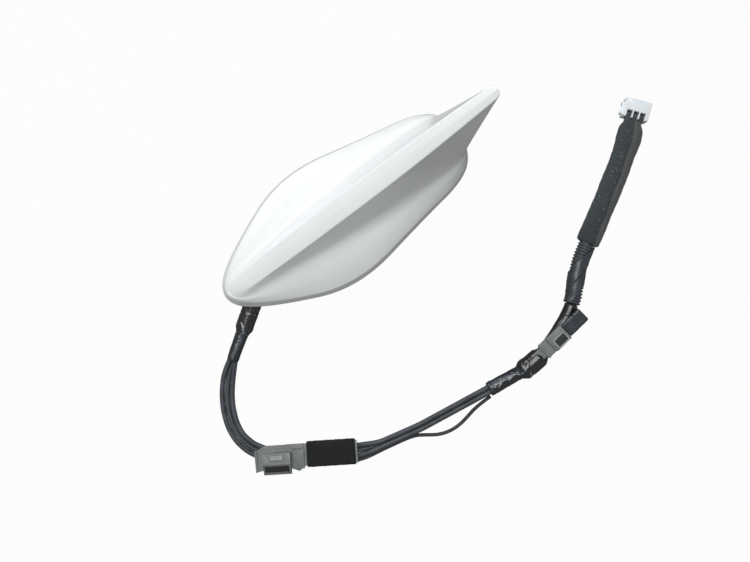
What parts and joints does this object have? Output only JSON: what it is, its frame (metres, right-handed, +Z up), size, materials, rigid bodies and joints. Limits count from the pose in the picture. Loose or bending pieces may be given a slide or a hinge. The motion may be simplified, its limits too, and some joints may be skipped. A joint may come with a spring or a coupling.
{
  "type": "car roof antenna",
  "caption": "Fin-shaped white car roof antenna on a cast base with a boss for the roof hole, with its wiring lead, two harness holders, tape, tube, foam sleeve and plug.",
  "frame": {"origin": "on the axis of the roof bolt, in the plane where the gasket meets the roof", "axes": "+X towards the tail of the fin, +Z up from the roof, -Z the way the roof bolt leaves; the lead lies towards -Y"},
  "size_m": [0.2971, 0.1673, 0.0766],
  "materials": {
    "cover_white": "glossy",
    "cast_base": "cast",
    "gasket_rubber": "matte",
    "clip_black": "matte",
    "screw_steel": "plated",
    "board_green": "solder mask",
    "tin_sheet": "tinned",
    "patch_ceramic": "fired",
    "contact_brass": "plated",
    "coil_copper": "bare",
    "lead_jacket": "satin",
    "wire_black": "satin",
    "tape_shiny": "shiny",
    "holder_grey": "satin",
    "pad_black": "matte",
    "pad_gloss": "shiny",
    "tube_black": "satin",
    "foam_charcoal": "felt",
    "plug_white": "satin"
  },
  "bodies": {
    "root": {"cover": "cover_white", "base_plate": "cast_base", "gasket": "gasket_rubber", "retaining_clip": "clip_black", "cover_screws": "screw_steel", "main_board": "board_green", "board_screws": "screw_steel", "shield_can": "tin_sheet", "gps_patch": "patch_ceramic", "gps_feed_pin": "contact_brass", "fin_board": "board_green", "top_plate": "tin_sheet", "loading_coil": "coil_copper", "front_radiator": "tin_sheet", "inner_plug": "clip_black", "inner_pins": "contact_brass", "cable_grommet": "gasket_rubber", "coax_1": "lead_jacket", "coax_2": "lead_jacket", "coax_3": "lead_jacket", "thin_wire": "wire_black", "tape_wrap_front": "tape_shiny", "clip_1": "holder_grey", "tape_pad_front": "pad_black", "tape_wrap_middle": "tape_shiny", "clip_2": "holder_grey", "tape_pad_rear": "pad_gloss", "corrugated_tube": "tube_black", "tube_tape": "tape_shiny", "foam_sleeve": "foam_charcoal", "plug_housing": "plug_white", "plug_contacts": "contact_brass", "plug_lock": "plug_white"}
  },
  "joints": []
}
